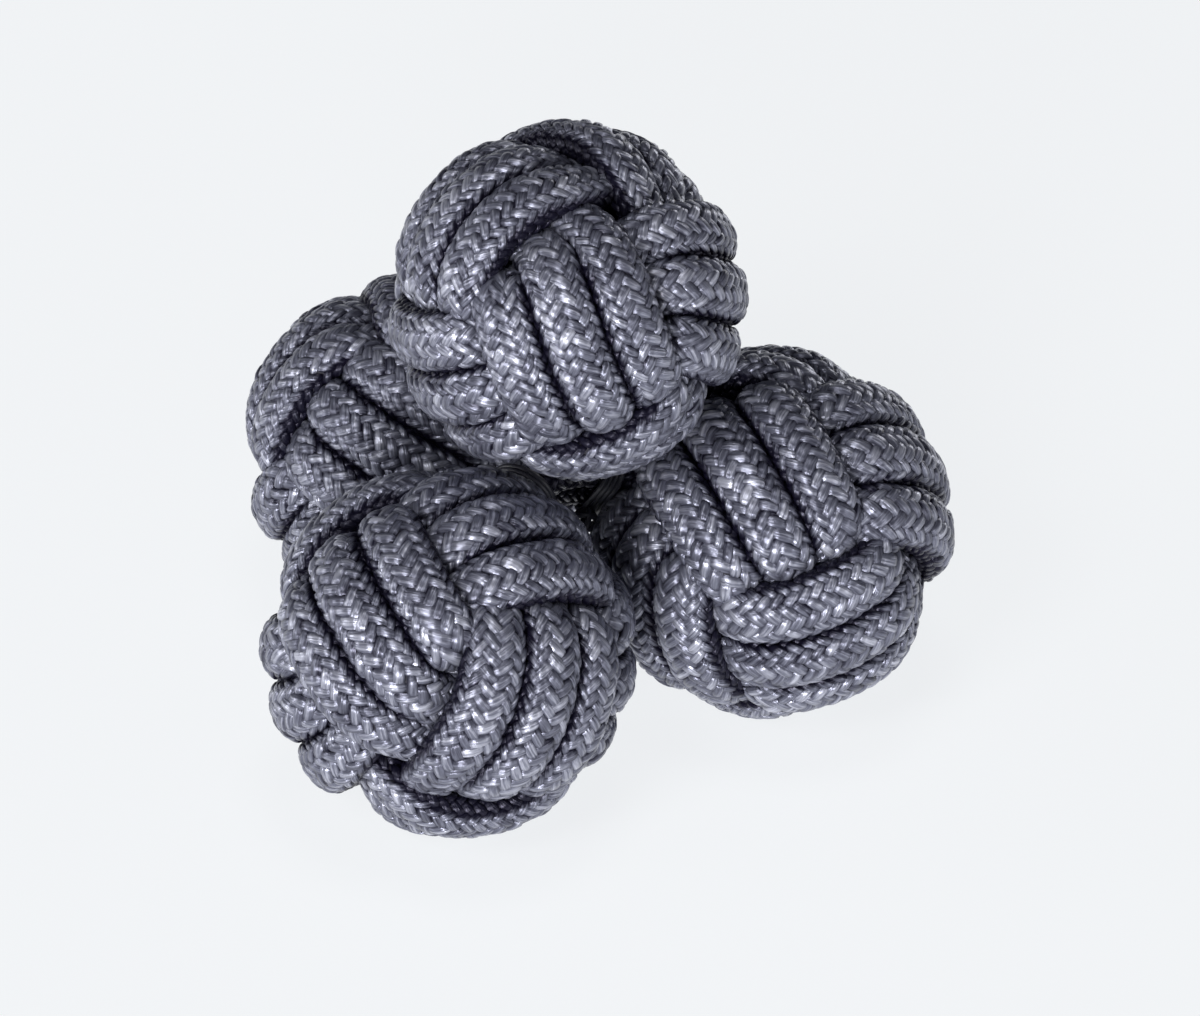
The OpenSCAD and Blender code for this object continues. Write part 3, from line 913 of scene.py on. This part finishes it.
@dataclass
class Studio:
    """Pale floor and backdrop, soft lamps and the camera."""

    backdrop: tuple[float, float, float] = (0.945, 0.965, 0.985)
    floor_m: float = 1.6
    floor_glow: float = 0.85
    floor_bounce: float = 1.0
    world_light: float = 0.05
    elevation_deg: float = 35.19
    azimuth_deg: float = -1.49
    roll_deg: float = 1.684
    aim_mm: tuple[float, float] = (0.25, 6.628)
    distance_mm: float = 379.5
    pixels_per_mm: float = 28.168
    picture_width: int = 1200
    sensor_mm: float = 36.0
    lamps: tuple[Lamp, ...] = (
        Lamp("key_lamp", -14, 2, 0.42, 0.13, 2.5),
        Lamp("high_lamp", -30, 40, 0.42, 0.13, 0.56),
        Lamp("left_lamp", -85, 6, 0.42, 0.13, 0.5),
        Lamp("right_lamp", 50, 6, 0.42, 0.13, 0.26),
        Lamp("top_lamp", 0, 85, 0.42, 0.13, 0.3),
        Lamp("back_lamp", 150, 6, 0.42, 0.13, 0.26),
    )

    def shown_share(self, nodes: bpy.types.Nodes, links: bpy.types.NodeLinks) -> bpy.types.NodeSocket:
        """Adds up the rays that see the backdrop as it is.

        Args:
            nodes: Nodes of a material or world.
            links: Its links.

        Returns:
            A socket that is 1 for camera, glossy and transmission rays.
        """
        path = nodes.new("ShaderNodeLightPath")
        total = nodes.new("ShaderNodeMath")
        total.operation = "ADD"
        links.new(path.outputs["Is Camera Ray"], total.inputs[0])
        links.new(path.outputs["Is Glossy Ray"], total.inputs[1])
        both = nodes.new("ShaderNodeMath")
        both.operation = "ADD"
        both.use_clamp = True
        links.new(total.outputs[0], both.inputs[0])
        links.new(path.outputs["Is Transmission Ray"], both.inputs[1])
        return both.outputs[0]

    def build_floor(self) -> None:
        """Lays the floor, which glows in part so that it stays pale and keeps a faint shadow."""
        half = self.floor_m / 2
        mesh = bpy.data.meshes.new("floor")
        corners = [(-half, -half, 0), (half, -half, 0), (half, half, 0), (-half, half, 0)]
        mesh.from_pydata(corners, [], [(0, 1, 2, 3)])
        made = bpy.data.objects.new("floor", mesh)
        bpy.context.scene.collection.objects.link(made)
        finish = bpy.data.materials.new("pale_floor")
        finish.use_nodes = True
        nodes, links = finish.node_tree.nodes, finish.node_tree.links
        shader = nodes["Principled BSDF"]
        shader.inputs["Base Color"].default_value = (*self.backdrop, 1.0)
        shader.inputs["Roughness"].default_value = 0.9
        shader.inputs["Specular IOR Level"].default_value = 0.0
        glow = nodes.new("ShaderNodeEmission")
        glow.inputs["Color"].default_value = (*self.backdrop, 1.0)
        glow.inputs["Strength"].default_value = 1.0
        scaled = nodes.new("ShaderNodeMath")
        scaled.operation = "MULTIPLY_ADD"
        scaled.inputs[1].default_value = self.floor_glow - self.floor_bounce
        scaled.inputs[2].default_value = self.floor_bounce
        mix = nodes.new("ShaderNodeMixShader")
        links.new(self.shown_share(nodes, links), scaled.inputs[0])
        links.new(scaled.outputs[0], mix.inputs["Fac"])
        links.new(shader.outputs["BSDF"], mix.inputs[1])
        links.new(glow.outputs["Emission"], mix.inputs[2])
        links.new(mix.outputs["Shader"], nodes["Material Output"].inputs["Surface"])
        mesh.materials.append(finish)

    def build_world(self) -> None:
        """Fills the room with pale light and shows it as the backdrop."""
        world = bpy.data.worlds.new("room")
        bpy.context.scene.world = world
        world.use_nodes = True
        nodes, links = world.node_tree.nodes, world.node_tree.links
        lit = nodes["Background"]
        lit.inputs["Color"].default_value = (0.80, 0.84, 1.0, 1.0)
        lit.inputs["Strength"].default_value = self.world_light
        shown = nodes.new("ShaderNodeBackground")
        shown.inputs["Color"].default_value = (*self.backdrop, 1.0)
        mix = nodes.new("ShaderNodeMixShader")
        path = nodes.new("ShaderNodeLightPath")
        links.new(path.outputs["Is Camera Ray"], mix.inputs["Fac"])
        links.new(lit.outputs["Background"], mix.inputs[1])
        links.new(shown.outputs["Background"], mix.inputs[2])
        links.new(mix.outputs["Shader"], nodes["World Output"].inputs["Surface"])

    def build_camera(self) -> None:
        """Places the camera where the photograph was taken from."""
        azimuth, roll = math.radians(self.azimuth_deg), math.radians(self.roll_deg)
        back = way_out(self.azimuth_deg, self.elevation_deg)
        right = np.array([math.cos(azimuth), math.sin(azimuth), 0.0])
        up = np.cross(back, right)
        right, up = (
            right * math.cos(roll) + up * math.sin(roll),
            up * math.cos(roll) - right * math.sin(roll),
        )
        data = bpy.data.cameras.new("camera")
        data.sensor_width = self.sensor_mm
        data.lens = self.sensor_mm * self.pixels_per_mm * self.distance_mm / self.picture_width
        data.clip_start, data.clip_end = 0.01, 10.0
        made = bpy.data.objects.new("camera", data)
        place = (right * self.aim_mm[0] + up * self.aim_mm[1] + back * self.distance_mm) * MM
        matrix = np.eye(4)
        matrix[:3, 0], matrix[:3, 1], matrix[:3, 2], matrix[:3, 3] = right, up, back, place
        made.matrix_world = Matrix(matrix.tolist())
        bpy.context.scene.collection.objects.link(made)
        bpy.context.scene.camera = made

    def build(self) -> None:
        """Sets up the whole studio."""
        bpy.context.scene.view_settings.view_transform = "Standard"
        self.build_camera()
        self.build_floor()
        self.build_world()
        aim = np.array([0.0, 0.0, 9.0]) * MM
        for lamp in self.lamps:
            lamp.build(aim)


def main() -> None:
    """Builds the studio, the knots and the links, in that order."""
    logging.basicConfig(level=logging.INFO)
    write_size()
    Studio().build()
    # The yarn's darkest colour is painted shade.
    yarn = SilkFinish(
        "slate_silk", painted_shade=(0.010, 0.009, 0.022), middle=(0.150, 0.155, 0.205), pale=(0.50, 0.51, 0.60)
    ).build()
    # The tube under the yarns is painted shade.
    shade_finish = PlainFinish("painted_shade_under_yarns", (0.014, 0.013, 0.024)).build()
    core = PlainFinish("core_thread", (0.02, 0.02, 0.03), 0.9).build()
    rubber = PlainFinish("black_rubber", (0.015, 0.015, 0.016), 0.6).build()
    # The whipping thread is near-black, partly its own colour and partly painted shade so that it passes for
    # the pile's dark hollows.
    thread = PlainFinish("whipping_thread", (0.035, 0.035, 0.05), 0.45).build()
    weaver = Weaver(Braid(), yarn, shade_finish)
    knots = (
        WoundKnot("front", 6.6, (105.9, 1.5, -23.0), quarter=3, seed=11),
        WoundKnot("right", 6.65, (-140.8, 54.3, -140.3), quarter=1, seed=12),
        WoundKnot("top", 6.3, (-4.8, -21.5, 155.5), quarter=3, seed=13, on_table=False),
        WoundKnot("rear", 6.3, (127.0, -41.6, -148.2), quarter=3, seed=14),
    )
    for knot in knots:
        knot.build(weaver, core)
    FirstLink().build(weaver, thread, rubber)
    SecondLink().build(weaver, thread, rubber)
    write_size()


if __name__ == "__main__":
    main()
